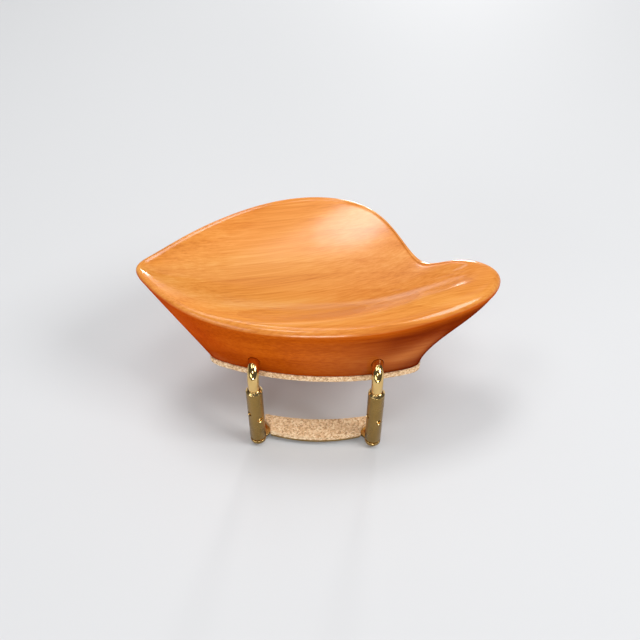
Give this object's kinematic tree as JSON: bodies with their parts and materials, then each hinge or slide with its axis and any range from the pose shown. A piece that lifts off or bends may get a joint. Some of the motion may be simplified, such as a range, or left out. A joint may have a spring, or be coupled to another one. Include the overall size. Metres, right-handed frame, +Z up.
{
  "type": "violin chin rest",
  "caption": "Carved wooden chin rest with a dished cup and side wing on a cork-lined foot, held by a two-post screw clamp that grips the edge of the instrument.",
  "frame": {"origin": "centre of the seat cork's underside, where the rest sits on the violin's top", "axes": "+Z up, out of the instrument's top; +X along the instrument's edge towards the wing; +Y inwards over the instrument, away from the clamp screws"},
  "size_m": [0.1225, 0.0773, 0.0535],
  "materials": {
    "wood": "orange-stained fruitwood under a glossy oil varnish",
    "cork": "cut agglomerated cork sheet",
    "gold_polished": "polished gold plating",
    "gold_satin": "satin gold plating"
  },
  "bodies": {
    "rest": {"chin_plate": "wood", "seat_cork": "cork", "hook_left": "gold_polished", "hook_right": "gold_polished"},
    "clamp_foot": {"foot_plate": "gold_satin", "foot_cork": "cork"},
    "barrel_left": {"barrel_left": "gold_satin", "swivel_pin_left": "gold_satin"},
    "barrel_right": {"barrel_right": "gold_satin", "swivel_pin_right": "gold_satin"}
  },
  "joints": [
    {"name": "clamp_travel", "type": "slide", "parent": "rest", "child": "clamp_foot", "axis": [0, 0, -1], "range_m": [-0.0014, 0.014]},
    {"name": "barrel_left_turn", "type": "hinge", "parent": "clamp_foot", "child": "barrel_left", "pos_m": [-0.02, -0.0105, -0.0266], "axis": [0, 0, -1], "range_deg": [-721, 7201]},
    {"name": "barrel_right_turn", "type": "hinge", "parent": "clamp_foot", "child": "barrel_right", "pos_m": [0.02, -0.0105, -0.0266], "axis": [0, 0, -1], "range_deg": [-721, 7201]}
  ],
  "couplings": [
    {"joint": "barrel_left_turn", "follows": "clamp_travel", "rad_per_m": 8976},
    {"joint": "barrel_right_turn", "follows": "clamp_travel", "rad_per_m": 8976}
  ]
}
